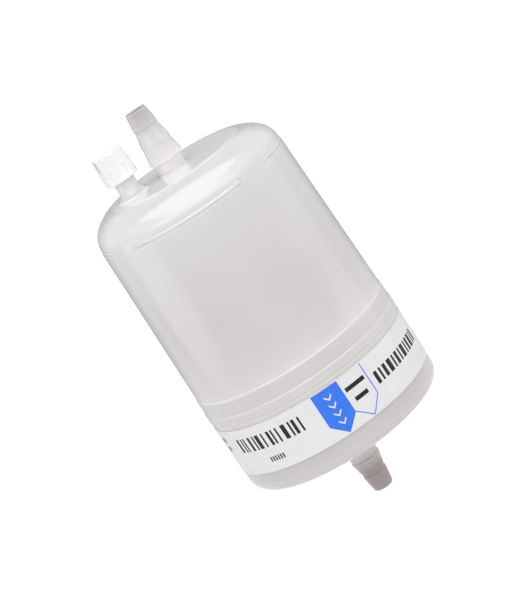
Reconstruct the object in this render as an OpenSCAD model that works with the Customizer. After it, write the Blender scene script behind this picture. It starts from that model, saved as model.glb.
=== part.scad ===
// Capsule filter: a welded translucent housing with a stepped barb at each end, a capped vent and a
// pleated cartridge inside. Z is the flow axis, inlet up, with the origin at the outlet tip.

/* [Barbs] */
// Length of one barb step
barb_step_l = 5.4; // [4.5:0.1:6.5]
// Diameter at the barb's tip
barb_tip_d = 6.4; // [5.8:0.1:7]
// Diameter of the first land, next to the tip
barb_land_1_d = 7.6; // [7.2:0.1:8.2]
// Diameter of the second land
barb_land_2_d = 9.2; // [8.6:0.1:9.8]
// Diameter of the third land, the largest
barb_land_3_d = 10.5; // [10:0.1:11.5]
// Length of each land
barb_land_l = 0.6; // [0.4:0.1:1.2]
// Step in, behind each land
barb_step_in = 0.22; // [0.1:0.02:0.4]
// Diameter of the neck behind the barb
barb_neck_d = 8.4; // [7.8:0.1:9.6]
// Bore through each barb
barb_bore_d = 4.6; // [3.5:0.1:5.2]
// Length of the neck between the outlet barb and the base
outlet_neck_l = 4.6; // [2:0.1:8]
// Length of the neck between the dome and the inlet barb
inlet_neck_l = 3.8; // [2:0.1:8]
// Rounding of the outlet's tip edge
outlet_tip_round = 0.7; // [0.3:0.1:0.8]
// Fillet at the foot of each barb's neck
barb_foot_r = 0.7; // [0.3:0.1:1.2]

/* [Base] */
// Outside diameter of the base
base_d = 63.7; // [58:0.1:72]
// Height of the base, from its bottom face to the weld seam
base_h = 24.7; // [22:0.1:32]
// Radius of the base's bottom corner
base_corner_r = 3.7; // [3.4:0.1:6.5]
// Wall of the base
base_wall = 2.4; // [1.8:0.1:3]
// Chamfer on each side of the seam
seam_chamfer = 0.1; // [0.05:0.05:0.4]
// Height of the socket that holds the cartridge
socket_h = 7.3; // [6:0.1:9]
// Wall of the socket
socket_wall = 2; // [1.2:0.1:3]

/* [Bowl] */
// Height of the bowl's outside, from the weld seam to the shoulder ledge
bowl_h = 59.9; // [45:0.1:110]
// Wall of the bowl
bowl_wall = 2.2; // [1.6:0.1:2.8]
// Height of the flange, above the weld seam
flange_h = 2.75; // [2:0.05:5]
// How far the flange stands out past the base
flange_proud = 0.25; // [0:0.05:0.6]
// Step in, from the flange to the flare
flange_step = 0.2; // [0.05:0.01:0.4]
// Height of the flare, above the flange
flare_h = 5.15; // [3:0.05:9]
// How far the flare comes in over its height
flare_in = 0.05; // [0:0.05:1]
// Step in, from the flare to the wall
foot_step = 0.2; // [0.05:0.01:0.4]
// How far the drafted wall comes in, from the flare to the ledge
draft_in = 1.1; // [0:0.05:1.6]
// How far the dome's edge stays inside the wall
dome_inset = 0.3; // [0.15:0.05:0.6]
// Height over which the wall leans in to the dome's edge
lean_h = 1.5; // [1.2:0.1:3]
// Depth of the groove at the ledge, inside the dome's edge
groove_d = 0.35; // [0.2:0.05:0.6]
// Height of the groove's upper side
groove_up = 0.3; // [0.2:0.05:0.5]
// Height of the groove's lower side
groove_down = 0.9; // [0.6:0.05:1.1]
// Lands that break the groove, with a nub below each on the flange
land_n = 4; // [3:1:6]
// Angle that each land spans
land_span = 18; // [8:1:30]
// Angle of the first land
land_turn = 36; // [0:1:90]
// Angle that each nub spans
nub_span = 4; // [2:0.5:6]
// Height of each nub
nub_h = 0.6; // [0.4:0.05:1]
// How far each nub stands out past the flange
nub_proud = 0.25; // [0.1:0.05:0.4]
// Height of the dome, from the ledge to its flat top
dome_h = 8.3; // [7.5:0.1:10]
// Width of the dome's rounding, from its edge to its flat top
dome_round_w = 11; // [9:0.1:13]
// Radius of the dome's knuckle, next to the ledge
knuckle_r = 6.4; // [4:0.1:7.2]
// Length of the bowl's spigot inside the base
spigot_l = 3; // [2:0.1:6]
// Wall of the spigot
spigot_wall = 1.4; // [1:0.1:1.8]
// Gap round the spigot, filled by the weld
joint_gap = 0.1; // [0.05:0.05:0.2]

/* [Vent] */
// Distance of the vent from the flow axis
vent_offset = 13.7; // [12.5:0.1:15]
// Outside diameter of the vent's neck
vent_neck_d = 6.35; // [5.6:0.05:6.6]
// Diameter of the vent's foot
vent_foot_d = 10.3; // [8.5:0.1:11]
// Height of the vent's foot above the dome
vent_foot_h = 0.4; // [0.2:0.1:1.5]
// Height of the flare between the foot and the neck
vent_flare_h = 2.7; // [2:0.1:4]
// Height of the cap's lower edge above the dome
vent_cap_rise = 5.6; // [5:0.05:10]
// Bore of the vent below its taper
vent_bore_d = 3; // [2:0.1:3.4]
// Mouth of the female luer taper
luer_mouth_d = 4.27; // [4.1:0.01:4.4]
// Depth of the luer taper
luer_depth = 7.5; // [6.5:0.1:9]
// Fall in diameter for each unit of depth of the luer taper
luer_taper = 0.06; // [0.04:0.005:0.07]
// Diameter over the two lock lugs
lug_d = 7.6; // [7:0.1:7.7]
// Height of the lugs
lug_h = 1.2; // [0.8:0.1:1.8]
// Height of the ramp under each lug
lug_ramp_h = 1.2; // [0.6:0.1:1.8]
// Angle that each lug spans
lug_span = 60; // [30:5:90]

/* [Vent cap] */
// Height of the cap
cap_h = 9; // [8:0.1:11]
// Diameter of the cap
cap_d = 10.2; // [9.8:0.1:11]
// Height of the rim below the flats
cap_rim_h = 1.7; // [1:0.1:2.2]
// Rounding of the cap's top edge
cap_top_round = 0.9; // [0.4:0.1:1.2]
// Rounding of the cap's bottom edge
cap_rim_round = 0.4; // [0.1:0.05:0.6]
// Thickness of the cap's roof
cap_roof = 1.4; // [1:0.1:2]
// Bore of the cap, round the lugs
cap_bore_d = 8; // [7.9:0.1:8.2]
// Flats round the cap
cap_flats = 6; // [5:1:8]
// Width across two opposite flats
cap_across_flats = 9; // [8.8:0.05:9.4]
// Angle of the first flat
cap_turn = 11; // [0:1:60]
// Width of the short rib on each flat
cap_rib_w = 1.2; // [0.6:0.1:1.8]
// Height of each rib above the rim
cap_rib_h = 3.3; // [1:0.1:5]
// Length of the plug inside the port
plug_l = 6; // [4:0.1:6.4]
// Gap between the cap and the port it seats on
cap_gap = 0.1; // [0.05:0.05:0.15]

/* [Label] */
// Height of the label
label_h = 15.35; // [10:0.05:17]
// Gap between the label's upper edge and the weld seam
label_drop = 1.8; // [1:0.05:2.4]
// Thickness of the label
label_t = 0.12; // [0.08:0.01:0.2]
// Thickness of the glue under the label
label_glue = 0.03; // [0.02:0.01:0.06]
// Angle at which the label's outer end lies
label_end_turn = 202.5; // [0:0.5:360]
// Length of the overlap, along the base
label_overlap = 7; // [4:0.5:15]

/* [Cartridge] */
// Room for flow round the cartridge's cage, at the ledge
annulus = 1.9; // [1.6:0.1:3]
// Height from the top of the pleats to the ledge
head_room = 7; // [5:0.1:12]
// Gap between cartridge pieces that fit into each other
fit_gap = 0.1; // [0.05:0.05:0.2]
// Thickness of the end caps
end_cap_t = 2.5; // [1.5:0.1:3]
// Wall of the lip round each end cap
lip_wall = 0.8; // [0.5:0.1:1]
// Height of that lip
lip_h = 3; // [2:0.1:5]
// Centring lugs round the upper end cap
centring_n = 4; // [3:1:8]
// Width of each centring lug
centring_w = 3; // [2:0.1:6]
// Gap between the centring lugs and the bowl
centring_gap = 0.3; // [0.2:0.05:0.5]
// Outside diameter of the nozzle on the lower end cap
nozzle_d = 17.8; // [14:0.1:20]
// Wall of the nozzle
nozzle_wall = 1.6; // [1:0.1:2.4]
// Length of the nozzle
nozzle_l = 5.5; // [4:0.1:5.8]
// Outside diameter of the core
core_d = 21; // [19:0.1:24]
// Wall of the core
core_wall = 1.5; // [1:0.1:2]
// Wall of the cage
cage_wall = 0.9; // [0.6:0.1:1.4]
// Length of the hubs that enter the core
hub_l = 4; // [2:0.1:6]
// Wall of those hubs
hub_wall = 1.2; // [0.8:0.1:2]
// Rows of windows along the cage and the core
window_rows = 8; // [4:1:9]
// Width of the ribs between the rows of windows
window_rib = 3; // [2:0.1:4]
// Windows round the cage, an even number
cage_windows = 12; // [6:2:12]
// Width of each window in the cage
cage_window_w = 10; // [5:0.1:10.5]
// Windows round the core, an even number
core_windows = 6; // [4:2:6]
// Width of each window in the core
core_window_w = 6; // [3:0.1:6.5]

/* [Pleats] */
// Pleats round the pack
pleat_n = 30; // [16:1:32]
// Thickness of the upstream and downstream support layers
support_t = 0.22; // [0.12:0.01:0.24]
// Thickness of the filter medium
medium_t = 0.2; // [0.1:0.01:0.22]
// Gap between the layers
layer_gap = 0.03; // [0.02:0.01:0.05]
// Half the gap inside each pleat
pleat_half_gap = 0.2; // [0.1:0.02:0.24]
// Gap between the pleats and the core, and between the pleats and the cage
pleat_clear = 0.2; // [0.1:0.05:0.3]

/* [Hidden] */
$fn = 96;
// Overlap of solids that are joined, and of cuts past the faces that they open
over = 0.5;
// Straight pieces in the small roundings
arc_steps = 12;

// Barbs
barb_lands = [barb_land_1_d / 2, barb_land_2_d / 2, barb_land_3_d / 2];
barb_l = barb_step_l * len(barb_lands);
barb_neck_r = barb_neck_d / 2;
barb_bore_r = barb_bore_d / 2;

// Heights along the flow axis
base_z = barb_l + outlet_neck_l;
floor_z = base_z + base_wall;
socket_z = floor_z + socket_h;
seam_z = base_z + base_h;
flange_z = seam_z + flange_h;
foot_z = flange_z + flare_h;
ledge_z = seam_z + bowl_h;
crown_z = ledge_z + dome_h;
inlet_tip_z = crown_z + inlet_neck_l + barb_l;

// Radii of the housing
base_r = base_d / 2;
base_in_r = base_r - base_wall;
flange_r = base_r + flange_proud;
flare_r = flange_r - flange_step;
flare_top_r = flare_r - flare_in;
foot_r = flare_top_r - foot_step;
ledge_r = foot_r - draft_in;
dome_r = ledge_r - dome_inset;
crown_r = dome_r - dome_round_w;
spigot_r = base_in_r - joint_gap;
spigot_in_r = spigot_r - spigot_wall;
land_pitch = 360 / land_n;

// Dome: the knuckle's arc and a wider shoulder arc meet where both have the same slope
shoulder_in = dome_round_w - knuckle_r;
shoulder_up = dome_h - knuckle_r;
shoulder_more = (shoulder_in * shoulder_in + shoulder_up * shoulder_up) / (2 * shoulder_up);
shoulder_r = knuckle_r + shoulder_more;
shoulder_turn = acos(shoulder_in / shoulder_more);
knuckle_centre = [dome_r - knuckle_r, ledge_z];
shoulder_centre = [crown_r, crown_z - shoulder_r];

// Vent and cap
cap_r = cap_d / 2;
cap_z = crown_z + vent_cap_rise;
roof_h = cap_h - cap_roof;
port_z = cap_z + roof_h - cap_gap;
vent_neck_r = vent_neck_d / 2;
vent_foot_r = vent_foot_d / 2;
luer_r = luer_mouth_d / 2;
luer_fall = luer_taper / 2;

// Cartridge
pack_z = socket_z + end_cap_t;
pack_top_z = ledge_z - head_room;
pack_l = pack_top_z - pack_z;
cage_r = ledge_r - bowl_wall - annulus;
cage_in_r = cage_r - cage_wall;
end_cap_r = cage_r + fit_gap + lip_wall;
core_r = core_d / 2;
core_in_r = core_r - core_wall;
hub_r = core_in_r - fit_gap;
nozzle_r = nozzle_d / 2;
nozzle_in_r = nozzle_r - nozzle_wall;
socket_r = nozzle_r + fit_gap;
window_pitch = (pack_l - window_rib) / window_rows;
window_h = window_pitch - window_rib;

// Pleats: depths into the sheet are measured from its downstream face
medium_from = support_t + layer_gap;
upstream_from = medium_from + medium_t + layer_gap;
sheet_t = upstream_from + support_t;
valley_r = core_r + pleat_clear;
peak_r = cage_in_r - pleat_clear - sheet_t;

// A point at a distance and an angle
function polar(r, a) = [r * cos(a), r * sin(a)];

// A point turned about the origin
function turned(p, a) = [p[0] * cos(a) - p[1] * sin(a), p[0] * sin(a) + p[1] * cos(a)];

// Points on an arc about a centre
function arc(centre, r, from, to) =
    [for (i = [0:arc_steps]) centre + polar(r, from + (to - from) * i / arc_steps)];

// Radius of the bowl's inner face at a height above its foot
function bowl_in_r(z) = foot_r - bowl_wall - draft_in * (z - foot_z) / (ledge_z - foot_z);

// Outline of a barb with its tip at zero, its neck and the fillet at the neck's foot
function barb_outline(neck_l, tip_round) = concat(
    [[0, 0]],
    tip_round > 0
        ? arc([barb_tip_d / 2 - tip_round, tip_round], tip_round, -90, 0)
        : [[barb_tip_d / 2, 0]],
    [for (i = [0:len(barb_lands) - 1]) each concat(
        i > 0 ? [[barb_lands[i - 1] - barb_step_in, i * barb_step_l]] : [],
        [[barb_lands[i], (i + 1) * barb_step_l - barb_land_l], [barb_lands[i], (i + 1) * barb_step_l]])],
    [[barb_neck_r, barb_l]],
    arc([barb_neck_r + barb_foot_r, barb_l + neck_l - barb_foot_r], barb_foot_r, 180, 90),
    [[barb_neck_r + barb_foot_r, barb_l + neck_l + over], [0, barb_l + neck_l + over]]);

module barb(neck_l, tip_round) {
    rotate_extrude() polygon(barb_outline(neck_l, tip_round));
}

// A disc about a centre
module disc(centre, r) {
    translate(centre) circle(r);
}

// A ring segment of the given profile, centred on an angle
module segment(turn, span) {
    rotate([0, 0, turn - span / 2]) rotate_extrude(angle = span) children();
}

// Half the dome's profile, with its face a depth below the outer one
module dome_half(depth) {
    meet = shoulder_centre + polar(shoulder_r - depth, shoulder_turn);
    polygon([[0, ledge_z - over], [crown_r, ledge_z - over], [crown_r, crown_z - depth],
        [0, crown_z - depth]]);
    disc(knuckle_centre, knuckle_r - depth);
    intersection() {
        disc(shoulder_centre, shoulder_r - depth);
        polygon([[crown_r - over, ledge_z - over], [meet[0] - over, ledge_z - over], meet,
            [meet[0], crown_z], [crown_r - over, crown_z]]);
    }
}

// The bowl's outer form, filled
module bowl_outside() {
    rotate_extrude() {
        polygon([[0, seam_z], [spigot_in_r + over, seam_z], [spigot_in_r + over, seam_z - spigot_l],
            [spigot_r, seam_z - spigot_l], [spigot_r, seam_z], [flange_r - seam_chamfer, seam_z],
            [flange_r, seam_z + seam_chamfer], [flange_r, flange_z - flange_step], [flare_r, flange_z],
            [flare_top_r, foot_z - foot_step], [foot_r, foot_z], [ledge_r, ledge_z - lean_h],
            [dome_r, ledge_z], [0, ledge_z]]);
        dome_half(0);
    }
}

// The bowl's inside
module bowl_inside() {
    rotate_extrude() {
        polygon([[0, seam_z - spigot_l - over], [spigot_in_r, seam_z - spigot_l - over],
            [spigot_in_r, seam_z], [foot_r - bowl_wall, foot_z], [ledge_r - bowl_wall, ledge_z],
            [0, ledge_z]]);
        dome_half(bowl_wall);
    }
}

// The groove between the wall and the dome's edge, as a cut that reaches past both
module ledge_groove() {
    bottom = [dome_r - groove_d, ledge_z];
    upper = [groove_d, groove_up];
    lower = [groove_d + dome_inset, -groove_down];
    polygon([bottom, bottom + 2 * lower, bottom + 2 * upper]);
}

// A small nub on the flange, just above the seam
module seam_nub() {
    nub_in_r = flange_r - seam_chamfer - over;
    nub_r = flange_r + nub_proud;
    polygon([[nub_in_r, seam_z], [nub_r, seam_z], [nub_r, seam_z + nub_h / 2], [flange_r, seam_z + nub_h],
        [nub_in_r, seam_z + nub_h]]);
}

module vent_port() {
    foot_top = crown_z + vent_foot_h;
    lug_in_r = vent_neck_r - over;
    ramp_z = port_z - lug_h - lug_ramp_h;
    rotate_extrude() polygon(concat(
        [[0, crown_z - over], [vent_foot_r, crown_z - over]],
        [for (i = [0:arc_steps]) let (a = 90 * i / arc_steps)
            [vent_foot_r - (vent_foot_r - vent_neck_r) * sin(a), foot_top + vent_flare_h * (1 - cos(a))]],
        [[vent_neck_r, port_z], [0, port_z]]));
    for (turn = [0, 180])
        segment(turn, lug_span) polygon([[lug_in_r, ramp_z], [vent_neck_r, ramp_z],
            [lug_d / 2, port_z - lug_h], [lug_d / 2, port_z], [lug_in_r, port_z]]);
}

module vent_bore() {
    translate([0, 0, crown_z - bowl_wall - over])
        cylinder(d = vent_bore_d, h = port_z - crown_z + bowl_wall);
    translate([0, 0, port_z - luer_depth])
        cylinder(r1 = luer_r - luer_depth * luer_fall, r2 = luer_r + over * luer_fall, h = luer_depth + over);
}

module housing_bowl() {
    color("gainsboro") difference() {
        union() {
            bowl_outside();
            for (i = [0:land_n - 1])
                segment(land_turn + i * land_pitch, nub_span) seam_nub();
            translate([0, 0, inlet_tip_z]) mirror([0, 0, 1]) barb(inlet_neck_l, 0);
            translate([-vent_offset, 0, 0]) vent_port();
        }
        bowl_inside();
        for (i = [0:land_n - 1])
            segment(land_turn + (i + 1 / 2) * land_pitch, land_pitch - land_span) ledge_groove();
        translate([0, 0, crown_z - bowl_wall - over])
            cylinder(r = barb_bore_r, h = inlet_tip_z - crown_z + bowl_wall + 2 * over);
        translate([-vent_offset, 0, 0]) vent_bore();
    }
}

// Half the base's profile as a filled cup, its face a depth inside the outer one
module cup_half(depth, top_z) {
    corner = [base_r - base_corner_r, base_z + base_corner_r];
    polygon([[0, base_z + depth], [corner[0], base_z + depth], [base_r - depth, corner[1]],
        [base_r - depth, top_z], [0, top_z]]);
    disc(corner, base_corner_r - depth);
}

module outlet_base() {
    color("lightgray") difference() {
        union() {
            rotate_extrude() {
                difference() {
                    cup_half(0, seam_z);
                    cup_half(base_wall, seam_z + over);
                    polygon([[base_r - seam_chamfer, seam_z], [base_r, seam_z - seam_chamfer],
                        [base_r + over, seam_z - seam_chamfer], [base_r + over, seam_z + over],
                        [base_r - seam_chamfer, seam_z + over]]);
                }
                translate([socket_r, floor_z - over]) square([socket_wall, socket_h + over]);
            }
            barb(outlet_neck_l, outlet_tip_round);
        }
        translate([0, 0, -over]) cylinder(r = barb_bore_r, h = floor_z + 2 * over);
    }
}

// The cap's outer form, filled, with its lower edge at zero
module cap_outside() {
    rotate_extrude() polygon(concat(
        [[0, 0]],
        arc([cap_r - cap_rim_round, cap_rim_round], cap_rim_round, -90, 0),
        arc([cap_r - cap_top_round, cap_h - cap_top_round], cap_top_round, 0, 90),
        [[0, cap_h]]));
}

// What is cut away for one flat, round its rib
module cap_flat_cut() {
    cut_h = cap_h - cap_rim_h + over;
    translate([cap_across_flats / 2, 0, cap_rim_h]) difference() {
        translate([0, -cap_r, 0]) cube([cap_r, cap_d, cut_h]);
        translate([-over, -cap_rib_w / 2, -over]) cube([cap_r + 2 * over, cap_rib_w, cap_rib_h + over]);
    }
}

module vent_cap() {
    color("white") translate([-vent_offset, 0, cap_z]) {
        difference() {
            cap_outside();
            for (i = [0:cap_flats - 1])
                rotate([0, 0, cap_turn + i * 360 / cap_flats]) cap_flat_cut();
            translate([0, 0, -over]) cylinder(d = cap_bore_d, h = roof_h + over);
        }
        translate([0, 0, roof_h - plug_l])
            cylinder(r1 = luer_r - cap_gap - plug_l * luer_fall, r2 = luer_r - cap_gap, h = plug_l + over);
    }
}

module label() {
    label_r = base_r + label_glue;
    overlap_span = label_overlap / base_r * 180 / PI;
    color("whitesmoke") translate([0, 0, seam_z - label_drop - label_h]) {
        difference() {
            cylinder(r = label_r + label_t, h = label_h);
            translate([0, 0, -over]) cylinder(r = label_r, h = label_h + 2 * over);
        }
        segment(label_end_turn - overlap_span / 2, overlap_span)
            translate([label_r + label_t / 2, 0]) square([label_t * 3 / 2, label_h]);
    }
}

// The trough that takes the ends of the pleats, the cage and the core, opening upwards from zero
module end_trough(bore_r) {
    rotate_extrude() polygon([[bore_r, -end_cap_t], [end_cap_r, -end_cap_t], [end_cap_r, lip_h],
        [cage_r + fit_gap, lip_h], [cage_r + fit_gap, 0], [hub_r, 0], [hub_r, hub_l],
        [hub_r - hub_wall, hub_l], [hub_r - hub_wall, 0], [bore_r, 0]]);
}

module upper_end_cap() {
    lug_top = pack_top_z + end_cap_t;
    lug_r = bowl_in_r(lug_top) - centring_gap;
    color("white") {
        translate([0, 0, pack_top_z]) mirror([0, 0, 1]) end_trough(0);
        for (i = [0:centring_n - 1])
            rotate([0, 0, i * 360 / centring_n]) intersection() {
                translate([end_cap_r - over, -centring_w / 2, pack_top_z])
                    cube([bowl_wall + annulus + over, centring_w, end_cap_t]);
                translate([0, 0, pack_top_z]) cylinder(r = lug_r, h = end_cap_t);
            }
    }
}

module lower_end_cap() {
    color("white") {
        translate([0, 0, pack_z]) end_trough(nozzle_in_r);
        translate([0, 0, socket_z - nozzle_l]) difference() {
            cylinder(r = nozzle_r, h = nozzle_l + over);
            translate([0, 0, -over]) cylinder(r = nozzle_in_r, h = nozzle_l + 3 * over);
        }
    }
}

// A tube with rows of windows, each cut straight across it
module window_tube(r, wall, windows, window_w) {
    translate([0, 0, pack_z]) difference() {
        cylinder(r = r, h = pack_l);
        translate([0, 0, -over]) cylinder(r = r - wall, h = pack_l + 2 * over);
        for (row = [0:window_rows - 1], i = [0:windows / 2 - 1])
            translate([0, 0, window_rib + row * window_pitch]) rotate([0, 0, i * 360 / windows])
                translate([-r - over, -window_w / 2, 0]) cube([2 * (r + over), window_w, window_h]);
    }
}

module outer_cage() {
    color("whitesmoke") window_tube(cage_r, cage_wall, cage_windows, cage_window_w);
}

module inner_core() {
    color("whitesmoke") window_tube(core_r, core_wall, core_windows, core_window_w);
}

// The face of the pleated sheet at a depth into it: each pleat has two level legs, a flat peak at the
// cage and a flat valley at the core
module pleat_face(depth) {
    half_turn = 180 / pleat_n;
    leg_y = pleat_half_gap + depth;
    foot_x = (valley_r + depth - leg_y * sin(half_turn)) / cos(half_turn);
    peak_x = peak_r + depth;
    pleat = [[foot_x, -leg_y], [peak_x, -leg_y], [peak_x, leg_y], [foot_x, leg_y]];
    polygon([for (i = [0:pleat_n - 1], p = pleat) turned(p, i * 360 / pleat_n)]);
}

// One layer of the pleated sheet, from one depth to another
module pleat_layer(from, to) {
    translate([0, 0, pack_z]) linear_extrude(pack_l) difference() {
        pleat_face(to);
        pleat_face(from);
    }
}

module upstream_support() {
    color("aliceblue") pleat_layer(upstream_from, sheet_t);
}

module filter_medium() {
    color("ivory") pleat_layer(medium_from, medium_from + medium_t);
}

module downstream_support() {
    color("aliceblue") pleat_layer(0, support_t);
}

housing_bowl();
outlet_base();
vent_cap();
label();
upper_end_cap();
lower_end_cap();
outer_cage();
inner_core();
upstream_support();
filter_medium();
downstream_support();
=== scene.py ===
"""Looks of the capsule filter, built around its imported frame. Lengths are in metres, angles in degrees."""

import math

import bmesh
import bpy
from mathutils import Matrix, Vector


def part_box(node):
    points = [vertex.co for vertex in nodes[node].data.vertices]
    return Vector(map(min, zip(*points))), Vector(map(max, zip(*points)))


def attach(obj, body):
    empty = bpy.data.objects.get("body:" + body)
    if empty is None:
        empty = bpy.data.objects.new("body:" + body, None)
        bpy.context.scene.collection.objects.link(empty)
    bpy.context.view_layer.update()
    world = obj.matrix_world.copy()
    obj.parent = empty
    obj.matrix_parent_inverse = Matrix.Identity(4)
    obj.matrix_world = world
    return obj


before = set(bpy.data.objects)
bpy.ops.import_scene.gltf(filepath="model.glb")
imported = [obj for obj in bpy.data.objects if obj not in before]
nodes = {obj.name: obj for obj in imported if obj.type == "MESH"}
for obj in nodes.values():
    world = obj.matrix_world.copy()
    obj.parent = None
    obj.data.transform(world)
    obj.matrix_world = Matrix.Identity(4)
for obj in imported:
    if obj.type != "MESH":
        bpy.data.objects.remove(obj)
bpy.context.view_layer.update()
MM = 0.001
BLACK = (0, 0, 0, 1)
WHITE = (1, 1, 1, 1)

# Camera, fitted to the photograph: an image of 529 by 598 pixels, seen from a little above and rolled
IMAGE_H = 598
METRES_PER_PIXEL = 0.2896 * MM
CAMERA_DISTANCE = 0.754
CAMERA_ELEVATION = 12.9
CAMERA_ROLL = -33.63
CAMERA_TARGET = Vector((1.03 * MM, 0, 67.1 * MM))
CAMERA_CLIP = (0.05, 20)
SENSOR_MM = 36.0

# Studio: the capsule hangs above a pale floor, in a white world and under one lamp. Soft boxes and grey cards
# stand round it for its gloss to show, the darker card before the grey one.
FLOOR_Z = -0.14
FLOOR_SIZE = 12.0
FLOOR_GLOW = 0.46
CARD_LEVEL = 0.42
FRONT_LEVEL = 1.43
BACK_LEVEL = 0.5
FRONT_DIRECTION = (0, -0.87, -0.5)
DOWN = (0, 0, -1)
TO_LEFT = (-1, 0, 0)
TO_RIGHT = (1, 0, 0)
TO_FRONT = (0, -1, 0)
TO_BACK = (0, 1, 0)

# Edges of the CAD nodes stay sharp above this angle; the cap's flats meet its round at less than that
SHARP_ANGLE = 35.0
CAP_SHARP_ANGLE = 18.0

# Radii at which gloss shows the edges of the plastic rounded
HOUSING_EDGE = 0.12 * MM
CAP_EDGE = 0.1 * MM
BEVEL_SAMPLES = 6

# Plastics and films: how strongly they bend light, and how far it scatters in the milky plastic, which is
# opaque at the weld and takes light in over these distances from it
PLASTIC_IOR = 1.49
FILM_IOR = 1.5
SCATTER = 2.5 * MM
WELD_FADE = (0.5 * MM, 3 * MM)
SPECKS = {"scale": 150, "size": 0.4 * MM, "depth": 0.4}

# The cap's gloss ends between these heights
CAP_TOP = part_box("vent_cap")[1].z
CAP_MATT = (CAP_TOP - 0.8 * MM, CAP_TOP - 0.1 * MM)

# The range in which most values of a noise lie
NOISE_LOW = 0.3
NOISE_HIGH = 0.7

# The milky plastic's colour along the flow axis, partly its own and partly painted light and shade. It is
# lighter where it is thin or empty behind, and darker towards the tips, with painted shade on the outlet
# under the base. Painted highlights lighten the outlet's upper end, thin rings at the weld, the flange and
# the flare, a ring at the foot of the vent and neck, and the barb just under a land. Each stop is a height in
# millimetres and a colour.
SEAM_Z = 45.5
BASE_TONES_AND_PAINTED_LIGHT = [
    (0.0, (0.40, 0.34, 0.345)),
    (7.5, (0.42, 0.36, 0.365)),
    (13.0, (0.72, 0.67, 0.67)),
    (17.0, (0.88, 0.84, 0.84)),
    (22.0, (0.74, 0.71, 0.705)),
    (26.0, (0.68, 0.65, 0.645)),
    (41.0, (0.72, 0.695, 0.69)),
    (44.6, (0.74, 0.715, 0.71)),
    (44.8, (0.80, 0.78, 0.775)),
    (45.2, (0.80, 0.78, 0.775)),
    (SEAM_Z, (0.74, 0.715, 0.71)),
]
BOWL_TONES_AND_PAINTED_LIGHT = [
    (SEAM_Z, (0.74, 0.715, 0.71)),
    (47.95, (0.74, 0.715, 0.71)),
    (48.05, (0.82, 0.80, 0.795)),
    (48.3, (0.82, 0.80, 0.795)),
    (48.4, (0.735, 0.71, 0.705)),
    (53.05, (0.735, 0.71, 0.705)),
    (53.15, (0.91, 0.89, 0.885)),
    (53.5, (0.91, 0.89, 0.885)),
    (53.7, (0.82, 0.795, 0.79)),
    (56.5, (0.77, 0.745, 0.74)),
    (64.0, (0.735, 0.71, 0.705)),
    (75.0, (0.725, 0.70, 0.695)),
    (98.0, (0.77, 0.75, 0.747)),
    (105.4, (0.79, 0.775, 0.775)),
    (108.0, (0.805, 0.795, 0.795)),
    (110.7, (0.745, 0.735, 0.735)),
    (113.58, (0.70, 0.685, 0.68)),
    (113.69, (0.985, 0.93, 0.92)),
    (113.72, (0.985, 0.93, 0.92)),
    (113.8, (0.75, 0.74, 0.74)),
    (114.2, (0.75, 0.74, 0.74)),
    (114.5, (0.79, 0.78, 0.78)),
    (117.4, (0.79, 0.78, 0.78)),
    (117.7, (0.77, 0.76, 0.76)),
    (122.1, (0.75, 0.74, 0.74)),
    (122.4, (0.82, 0.81, 0.81)),
    (122.9, (0.82, 0.81, 0.81)),
    (123.0, (0.74, 0.73, 0.73)),
    (127.6, (0.68, 0.665, 0.665)),
    (133.7, (0.50, 0.475, 0.48)),
]

# Between the lands, the groove is painted: a highlight along its upper part, painted shade below it and a
# thin painted highlight under that
LANDS = {"count": 4, "turn": 36, "half_span": 9.3}
GROOVE_PAINTED_LIGHT_AND_SHADE = [
    (103.8, (0.79, 0.775, 0.775)),
    (104.0, (0.88, 0.87, 0.87)),
    (104.15, (0.69, 0.67, 0.67)),
    (104.85, (0.69, 0.67, 0.67)),
    (104.95, (0.98, 0.98, 0.98)),
    (105.65, (0.98, 0.98, 0.98)),
    (105.75, (0.79, 0.775, 0.775)),
]

# Print on the label, as thin strips along it. Each column of a strip is an angle from the -Y side, +X being
# positive, and the distances below the label's upper edge between which the ink lies, in millimetres.
LABEL_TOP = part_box("label")[1].z
LABEL_R = 32.0 * MM
FLAP_R = 32.12 * MM
INK_T = 0.012 * MM
TOP_INK_T = 0.02 * MM
INK_SINK = 0.01 * MM
STEP = 1.0

# The flag and the outlined field beside it, whose feet are points of an angle and a distance
PRINT_TOP = 0.25
FLAG_TIP = (0.95, 15.0)
FLAG_FOOT = [(-6.75, 10.75), FLAG_TIP, (8.85, 10.9)]
FIELD_FOOT = [(8.85, 10.8), (16.5, 14.9), (24.0, 10.5)]
FIELD_LINE = 0.3
FIELD_SIDE = {"left": 23.75, "right": 24.3, "top": PRINT_TOP, "bottom": 10.6}
FIELD_BARS = [
    {"left": 10.2, "right": 22.3, "top": 3.6, "bottom": 4.9},
    {"left": 12.2, "right": 20.3, "top": 7.4, "bottom": 8.7},
]

# Chevrons down the flag, with the half width in degrees, and the drop and the line's height in millimetres
CHEVRON_MIDDLE = FLAG_TIP[0]
CHEVRON_TOPS = (2.2, 4.9, 7.6, 10.3)
CHEVRON_HALF = 2.15
CHEVRON_DROP = 1.2
CHEVRON_LINE = 0.6

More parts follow.
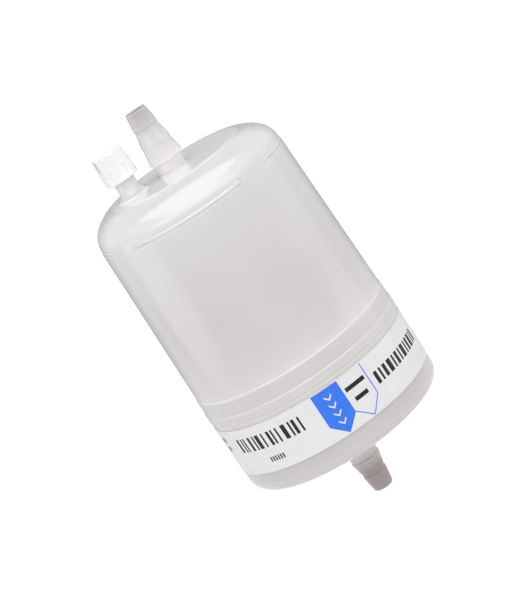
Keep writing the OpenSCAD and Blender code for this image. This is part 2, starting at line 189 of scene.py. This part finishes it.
# Rows of upright bars, with the angle of the first, and the widths and the gaps after them in degrees
LEFT_ROW = {
    "start": -62,
    "widths": [1.8, 1.1, 1.1, 1.8, 1.1, 2.5, 1.1, 1.8, 1.1, 1.1, 2.5, 1.1, 1.8, 1.1],
    "gaps": [1.9, 1.1, 2.6, 1.9, 1.1, 1.9, 2.6, 1.1, 1.9, 2.6, 1.9, 1.1, 1.9, 0],
    "top": 3.0,
    "bottom": 7.6,
}
SMALL_ROW = {"start": -45, "widths": [0.9] * 6, "gaps": [0.8] * 6, "top": 10.7, "bottom": 12.3}
RIGHT_ROW = {
    "start": 27.6,
    "widths": [2.2, 1.3, 2.2, 3.0, 1.3, 2.2, 1.3, 3.0, 1.3, 2.2, 3.0, 1.3, 2.2],
    "gaps": [1.6] * 13,
    "top": 5.1,
    "bottom": 9.0,
}
FLAP_ROW = {"start": -78.2, "widths": [0.7, 1.3, 0.7], "gaps": [0.9, 0.9, 0]}
FLAP_SPANS = [(2.4, 4.0), (5.4, 7.0)]


class Graph:
    """Short ways to add nodes to a node tree."""

    def __init__(self, tree):
        self.tree = tree

    def put(self, value, socket):
        """Links another node's output to a socket, or sets the socket to a plain value."""
        if isinstance(value, bpy.types.NodeSocket):
            self.tree.links.new(value, socket)
        else:
            socket.default_value = value

    def node(self, kind, **values):
        """A new node with values put in its sockets by name, where an underscore stands for a space."""
        made = self.tree.nodes.new(kind)
        for key, value in values.items():
            self.put(value, made.inputs[key.replace("_", " ")])
        return made

    def math(self, operation, *values):
        """A maths node on other nodes' outputs and plain numbers."""
        made = self.node("ShaderNodeMath")
        made.operation = operation
        for value, socket in zip(values, made.inputs):
            self.put(value, socket)
        return made.outputs["Value"]

    def vector_math(self, operation, first, second):
        made = self.node("ShaderNodeVectorMath")
        made.operation = operation
        self.put(first, made.inputs[0])
        self.put(second, made.inputs[1])
        return made.outputs

    def spread(self, value, low, high, start=0, end=1, smooth=False):
        """Maps a value from the range between start and end to another range."""
        made = self.node("ShaderNodeMapRange", Value=value, From_Min=start, From_Max=end,
                         To_Min=low, To_Max=high)
        made.interpolation_type = "SMOOTHSTEP" if smooth else "LINEAR"
        return made.outputs["Result"]

    def seen(self):
        """1 for rays that show a surface as the camera sees it, straight or in gloss or through plastic."""
        path = self.node("ShaderNodeLightPath").outputs
        shown = self.math("MAXIMUM", path["Is Camera Ray"], path["Is Glossy Ray"])
        return self.math("MAXIMUM", shown, path["Is Transmission Ray"])


class Shader(Graph):
    """A new node material with a Principled shader, and patterns to feed it with."""

    def __init__(self, name, **values):
        self.material = bpy.data.materials.new(name)
        self.material.use_nodes = True
        super().__init__(self.material.node_tree)
        self.surface = self.tree.nodes["Principled BSDF"]
        self.place = self.node("ShaderNodeTexCoord").outputs["Object"]
        for key, value in values.items():
            self.feed(value, key.replace("_", " "))

    def feed(self, value, socket):
        self.put(value, self.surface.inputs[socket])

    def coordinate(self, axis):
        """The place on the object along X, Y or Z."""
        return self.node("ShaderNodeSeparateXYZ", Vector=self.place).outputs[axis]

    def height(self):
        return self.coordinate("Z")

    def noise(self, scale, detail=2.0, stretch=(1, 1, 1)):
        """Noise over the object, whose features are about one metre over scale across."""
        mapped = self.node("ShaderNodeMapping", Vector=self.place, Scale=stretch).outputs["Vector"]
        return self.node("ShaderNodeTexNoise", Vector=mapped, Scale=scale, Detail=detail).outputs["Fac"]

    def vary(self, noise, low, high):
        """A value that a noise varies between two."""
        return self.spread(noise, low, high, NOISE_LOW, NOISE_HIGH)

    def colours(self, value, stops):
        """A colour for a value from 0 to 1, from stops of a position and a colour."""
        made = self.node("ShaderNodeValToRGB", Fac=value)
        steps = made.color_ramp.elements
        for i, (position, colour) in enumerate(stops):
            step = steps[i] if i < len(steps) else steps.new(1.0)
            step.position = position
            step.color = (*colour, 1)
        return made.outputs["Color"]

    def mottle(self, noise, dark, light):
        """A colour that a noise varies between two."""
        return self.colours(noise, [(NOISE_LOW, dark), (NOISE_HIGH, light)])

    def along(self, stops):
        """A colour along the flow axis, from stops of a height in millimetres and a colour."""
        low, high = stops[0][0], stops[-1][0]
        share = self.spread(self.height(), 0, 1, low * MM, high * MM)
        return self.colours(share, [((z - low) / (high - low), colour) for z, colour in stops])

    def within(self, low, high):
        """1 between two heights in millimetres, 0 elsewhere."""
        above = self.math("GREATER_THAN", self.height(), low * MM)
        return self.math("MULTIPLY", above, self.math("LESS_THAN", self.height(), high * MM))

    def sectors(self, count, turn, half_span):
        """1 near each of some angles spread evenly about the flow axis, 0 elsewhere; angles in degrees."""
        angle = self.math("ARCTAN2", self.coordinate("Y"), self.coordinate("X"))
        wave = self.math("COSINE", self.math("MULTIPLY_ADD", angle, count, -math.radians(turn) * count))
        return self.math("GREATER_THAN", wave, math.cos(math.radians(half_span) * count))

    def specks(self, scale, size, depth):
        """1, and less by a depth in sparse round specks of a size in metres."""
        away = self.node("ShaderNodeTexVoronoi", Vector=self.place, Scale=scale).outputs["Distance"]
        return self.spread(away, 1 - depth, 1, size * scale / 4, size * scale / 2)

    def mix(self, factor, first, second):
        """A mix of two colours; its sockets go by these names only once it is set to colours."""
        made = self.node("ShaderNodeMix")
        made.data_type = "RGBA"
        self.put(factor, made.inputs["Factor"])
        self.put(first, made.inputs["A"])
        self.put(second, made.inputs["B"])
        return made.outputs["Result"]

    def times(self, colour, value):
        return self.vector_math("MULTIPLY", colour, value)["Vector"]

    def bevel(self, radius):
        made = self.node("ShaderNodeBevel", Radius=radius)
        made.samples = BEVEL_SAMPLES
        return made.outputs["Normal"]

    def bump(self, height, strength, distance, normal=None):
        made = self.node("ShaderNodeBump", Height=height, Strength=strength, Distance=distance)
        if normal:
            self.put(normal, made.inputs["Normal"])
        return made.outputs["Normal"]


def link(obj):
    bpy.context.scene.collection.objects.link(obj)
    return obj


def aim(obj, location, direction, roll=0.0):
    """Puts an object at a location, turns its -Z axis along a direction with its +Y up, and then rolls it."""
    turn = Vector(direction).to_track_quat("-Z", "Y").to_matrix().to_4x4()
    obj.matrix_world = Matrix.Translation(location) @ turn @ Matrix.Rotation(math.radians(roll), 4, "Z")


def make_camera():
    data = bpy.data.cameras.new("camera")
    data.sensor_width = SENSOR_MM
    data.lens = SENSOR_MM * CAMERA_DISTANCE / (IMAGE_H * METRES_PER_PIXEL)
    data.clip_start, data.clip_end = CAMERA_CLIP
    camera = link(bpy.data.objects.new("camera", data))
    tilt = math.radians(CAMERA_ELEVATION)
    location = CAMERA_TARGET + Vector((0, -math.cos(tilt), math.sin(tilt))) * CAMERA_DISTANCE
    aim(camera, location, CAMERA_TARGET - location, CAMERA_ROLL)
    bpy.context.scene.camera = camera


def make_world():
    """White where it is seen, and as a light stronger from the front than from the back."""
    world = bpy.data.worlds.new("studio")
    bpy.context.scene.world = world
    world.use_nodes = True
    made = Graph(world.node_tree)
    background = made.tree.nodes["Background"]
    made.put(WHITE, background.inputs["Color"])
    direction = made.node("ShaderNodeTexCoord").outputs["Generated"]
    frontness = made.vector_math("DOT_PRODUCT", direction, FRONT_DIRECTION)["Value"]
    level = made.spread(frontness, BACK_LEVEL, FRONT_LEVEL, -1, 1)
    made.put(made.spread(made.seen(), level, 1), background.inputs["Strength"])


def panel(name, size, material):
    """A flat rectangle about its own origin."""
    x, y = size[0] / 2, size[1] / 2
    mesh = bpy.data.meshes.new(name)
    mesh.from_pydata([(-x, -y, 0), (x, -y, 0), (x, y, 0), (-x, y, 0)], [], [(0, 1, 2, 3)])
    mesh.materials.append(material)
    return link(bpy.data.objects.new(name, mesh))


def make_floor():
    """A pale floor that is near white where it is seen and keeps the shadow."""
    made = Shader("pale_floor", Base_Color=(0.7, 0.7, 0.7, 1), Roughness=0.9, Specular_IOR_Level=0.1)
    made.feed(WHITE, "Emission Color")
    made.feed(made.spread(made.seen(), 0, FLOOR_GLOW), "Emission Strength")
    floor = panel("floor", (FLOOR_SIZE, FLOOR_SIZE), made.material)
    floor.location.z = FLOOR_Z


def lamp(name, location, facing, size, radiance):
    """A soft lamp of a radiance, which neither the camera nor gloss shows."""
    data = bpy.data.lights.new(name, "AREA")
    data.shape = "RECTANGLE"
    data.size, data.size_y = size
    data.energy = radiance * math.pi * size[0] * size[1]
    made = link(bpy.data.objects.new(name, data))
    made.visible_camera = False
    made.visible_glossy = False
    aim(made, location, facing)


def soft_box(name, location, facing, size, level, fade, edge_level=1.0):
    """A panel that only gloss shows, of a level in its middle that fades to another at its edges."""
    made = Shader(name, Base_Color=BLACK, Specular_IOR_Level=0, Emission_Color=WHITE)
    inside = 1
    for axis, length, soft in zip("XY", size, fade):
        off_centre = made.math("ABSOLUTE", made.coordinate(axis))
        near = made.spread(off_centre, 0, 1, length / 2, length / 2 - soft, smooth=True)
        inside = made.math("MULTIPLY", inside, near)
    made.feed(made.spread(inside, edge_level, level), "Emission Strength")
    box = panel(name, size, made.material)
    box.visible_camera = False
    box.visible_diffuse = False
    box.visible_transmission = False
    box.visible_shadow = False
    aim(box, location, facing)


def make_studio():
    make_camera()
    make_world()
    make_floor()
    lamp("top_fill", (0, -0.05, 0.95), DOWN, size=(0.6, 0.6), radiance=1.6)
    soft_box("top_box", (0, -0.65, 0.98), DOWN, size=(1.3, 1.9), level=3.4, fade=(0.1, 0.1))
    soft_box("front_box", (0, -1.6, 1.12), TO_BACK, size=(7.0, 1.04), level=3.2, fade=(1.5, 0.1))
    soft_box("ceiling_gap", (0, 0.47, 0.98), DOWN, size=(1.6, 0.3), level=0.55, fade=(0.2, 0.08))
    soft_box("left_box", (-0.6, -0.07, 0.05), TO_RIGHT, size=(0.66, 0.25), level=2.3, fade=(0.22, 0.03))
    soft_box("right_box", (0.6, -0.07, 0.02), TO_LEFT, size=(0.66, 0.31), level=1.8, fade=(0.22, 0.03))
    soft_box("grey_card", (0, 0.4, 0.1), TO_FRONT, size=(1.0, 0.46), level=CARD_LEVEL, fade=(0.3, 0.12))
    soft_box("dark_card", (0, 0.39, 0.18), TO_FRONT, size=(0.3, 0.14), level=0.28, fade=(0.1, 0.05),
             edge_level=CARD_LEVEL)


def grey(level):
    return (level, level, level)


def housing_material(name, tone_and_painted_light):
    """Milky polypropylene, glossy, with a moulded wall's slow waves and some specks; opaque near the weld."""
    made = Shader(name, IOR=PLASTIC_IOR, Subsurface_Scale=SCATTER, Subsurface_Radius=(1.0, 1.0, 1.0))
    from_seam = made.math("ABSOLUTE", made.math("SUBTRACT", made.height(), SEAM_Z * MM))
    made.feed(made.spread(from_seam, 0, 1, *WELD_FADE), "Subsurface Weight")
    # The tone along the axis carries painted shade and painted highlights as well as the plastic's own tones;
    # the noise adds random cloud.
    cloudy_and_painted_light = made.times(tone_and_painted_light(made), made.vary(made.noise(60), 0.985, 1.015))
    made.feed(made.times(cloudy_and_painted_light, made.specks(**SPECKS)), "Base Color")
    made.feed(made.vary(made.noise(500), 0.03, 0.06), "Roughness")
    slow = made.noise(45, detail=1.0, stretch=(1, 1, 0.5))
    waves = made.bump(slow, strength=0.25, distance=0.5 * MM, normal=made.bevel(HOUSING_EDGE))
    made.feed(made.bump(made.noise(1800), strength=0.08, distance=0.02 * MM, normal=waves), "Normal")
    return made.material


def base_tone_and_painted_light(made):
    return made.along(BASE_TONES_AND_PAINTED_LIGHT)


def bowl_tone_and_painted_light(made):
    """The bowl's tones and painted light, with the groove's painted highlight and shade let in between the
    lands.
    """
    first, last = GROOVE_PAINTED_LIGHT_AND_SHADE[0][0], GROOVE_PAINTED_LIGHT_AND_SHADE[-1][0]
    below = [stop for stop in BOWL_TONES_AND_PAINTED_LIGHT if stop[0] < first]
    above = [stop for stop in BOWL_TONES_AND_PAINTED_LIGHT if stop[0] > last]
    groove_painted_light = made.along(below[-1:] + GROOVE_PAINTED_LIGHT_AND_SHADE + above[:1])
    ring = made.math("MULTIPLY", made.within(first, last), made.math("SUBTRACT", 1, made.sectors(**LANDS)))
    return made.mix(ring, made.along(BOWL_TONES_AND_PAINTED_LIGHT), groove_painted_light)


def cap_material():
    """White polypropylene: glossy sides, and a top that the mould left matt."""
    made = Shader("white_polypropylene", IOR=PLASTIC_IOR, Specular_IOR_Level=0.3)
    made.feed(made.mottle(made.noise(150), grey(0.945), grey(0.955)), "Base Color")
    matt = made.spread(made.height(), 0, 0.5, *CAP_MATT)
    made.feed(made.math("MAXIMUM", made.vary(made.noise(1500), 0.10, 0.13), matt), "Roughness")
    edges = made.bevel(CAP_EDGE)
    made.feed(made.bump(made.noise(300), strength=0.03, distance=0.02 * MM, normal=edges), "Normal")
    return made.material


def label_material():
    made = Shader("label_film", IOR=FILM_IOR)
    made.feed(made.mottle(made.noise(200), grey(0.84), grey(0.87)), "Base Color")
    made.feed(made.vary(made.noise(1200), 0.30, 0.40), "Roughness")
    made.feed(made.bump(made.noise(120, detail=3.0), strength=0.15, distance=0.1 * MM), "Normal")
    return made.material


def ink_material(name, dark, light):
    made = Shader(name, IOR=FILM_IOR, Specular_IOR_Level=0.2)
    made.feed(made.mottle(made.noise(900), dark, light), "Base Color")
    made.feed(made.vary(made.noise(1500), 0.35, 0.5), "Roughness")
    return made.material


def cartridge_material():
    made = Shader("cartridge_polypropylene", IOR=PLASTIC_IOR)
    made.feed(made.mottle(made.noise(200), (0.84, 0.84, 0.83), (0.88, 0.88, 0.87)), "Base Color")
    made.feed(made.vary(made.noise(900), 0.45, 0.55), "Roughness")
    made.feed(made.bump(made.noise(1500), strength=0.1, distance=0.05 * MM), "Normal")
    return made.material


def fibre_material(name, dark, light, scale):
    """A pleated layer: fine fibres that run along the flow axis."""
    made = Shader(name)
    fibres = made.noise(scale, detail=4.0, stretch=(1, 1, 0.2))
    made.feed(made.mottle(fibres, dark, light), "Base Color")
    made.feed(made.vary(fibres, 0.75, 0.9), "Roughness")
    made.feed(made.bump(fibres, strength=0.3, distance=0.05 * MM), "Normal")
    return made.material


def dress(node, material, sharp=SHARP_ANGLE):
    mesh = nodes[node].data
    mesh.materials.clear()
    mesh.materials.append(material)
    mesh.polygons.foreach_set("use_smooth", [True] * len(mesh.polygons))
    mesh.set_sharp_from_angle(angle=math.radians(sharp))


def dress_nodes():
    cartridge = cartridge_material()
    support = fibre_material("support_net", (0.80, 0.83, 0.86), (0.88, 0.90, 0.92), 1500)
    dress("housing_bowl", housing_material("milky_bowl", bowl_tone_and_painted_light))
    dress("outlet_base", housing_material("milky_base", base_tone_and_painted_light))
    dress("vent_cap", cap_material(), CAP_SHARP_ANGLE)
    dress("label", label_material())
    for inner in ("upper_end_cap", "lower_end_cap", "outer_cage", "inner_core"):
        dress(inner, cartridge)
    for layer in ("upstream_support", "downstream_support"):
        dress(layer, support)
    dress("filter_medium", fibre_material("filter_sheet", (0.88, 0.87, 0.83), (0.92, 0.91, 0.88), 3000))


def split(columns):
    """Adds columns between those given, so that a strip follows the label's curve."""
    fine = [columns[0]]
    for first, second in zip(columns, columns[1:]):
        count = max(1, math.ceil(abs(second[0] - first[0]) / STEP))
        for i in range(1, count + 1):
            fine.append([a + (b - a) * i / count for a, b in zip(first, second)])
    return fine


def strip(work, columns, base_r, thickness):
    """Adds a closed strip between columns, on a radius of the label."""
    inner, outer = base_r - INK_SINK, base_r + thickness
    rings = []
    for angle, top, bottom in split(columns):
        turn = math.radians(angle)
        ring = []
        for r, down in ((inner, top), (outer, top), (outer, bottom), (inner, bottom)):
            ring.append(work.verts.new((r * math.sin(turn), -r * math.cos(turn), LABEL_TOP - down * MM)))
        rings.append(ring)
    for one, two in zip(rings, rings[1:]):
        for i in range(4):
            j = (i + 1) % 4
            work.faces.new((one[i], one[j], two[j], two[i]))
    work.faces.new(rings[0][::-1])
    work.faces.new(rings[-1])


def ink(name, material, strips, base_r=LABEL_R, thickness=INK_T):
    work = bmesh.new()
    for columns in strips:
        strip(work, columns, base_r, thickness)
    bmesh.ops.recalc_face_normals(work, faces=work.faces)
    mesh = bpy.data.meshes.new(name)
    work.to_mesh(mesh)
    work.free()
    mesh.materials.append(material)
    made = link(bpy.data.objects.new(name, mesh))
    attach(made, "capsule")


def bar(left, right, top, bottom):
    return [(left, top, bottom), (right, top, bottom)]


def bars(start, widths, gaps, top, bottom):
    """A row of upright bars from an angle on, with widths and gaps in degrees."""
    made = []
    left = start
    for width, gap in zip(widths, gaps):
        made.append(bar(left, left + width, top, bottom))
        left += width + gap
    return made


def slant(start, end, width):
    """A straight line of the given width down or up the label, from one (angle, distance) to another."""
    (a0, d0), (a1, d1) = start, end
    run = math.radians(a1 - a0) * LABEL_R / MM
    tall = width * math.hypot(run, d1 - d0) / abs(run) / 2
    return [(a0, d0 - tall, d0 + tall), (a1, d1 - tall, d1 + tall)]


def flag():
    """A flag whose foot points along the flow."""
    return [(angle, PRINT_TOP, foot) for angle, foot in FLAG_FOOT]


def field():
    """The lines round the free sides of the field beside the flag."""
    foot = [slant(start, end, FIELD_LINE) for start, end in zip(FIELD_FOOT, FIELD_FOOT[1:])]
    return foot + [bar(**FIELD_SIDE)]


def chevron(top):
    """A chevron that points along the flow, from a distance down the flag."""
    tip = top + CHEVRON_DROP
    line = [(-CHEVRON_HALF, top), (0, tip), (CHEVRON_HALF, top)]
    return [(CHEVRON_MIDDLE + angle, down, down + CHEVRON_LINE) for angle, down in line]


def print_label():
    blue = ink_material("blue_ink", (0.045, 0.20, 0.90), (0.055, 0.225, 0.95))
    black = ink_material("black_ink", (0.012, 0.012, 0.014), (0.022, 0.022, 0.024))
    white = ink_material("white_ink", (0.82, 0.84, 0.86), (0.86, 0.88, 0.90))
    ink("flow_flag", blue, [flag()] + field())
    ink("flow_chevrons", white, [chevron(top) for top in CHEVRON_TOPS], thickness=TOP_INK_T)
    field_bars = [bar(**place) for place in FIELD_BARS]
    ink("label_marks", black, bars(**LEFT_ROW) + bars(**SMALL_ROW) + field_bars + bars(**RIGHT_ROW))
    flap_bars = []
    for top, bottom in FLAP_SPANS:
        flap_bars += bars(**FLAP_ROW, top=top, bottom=bottom)
    ink("flap_marks", black, flap_bars, base_r=FLAP_R)


make_studio()
dress_nodes()
print_label()

bpy.context.scene.view_settings.view_transform = "Standard"
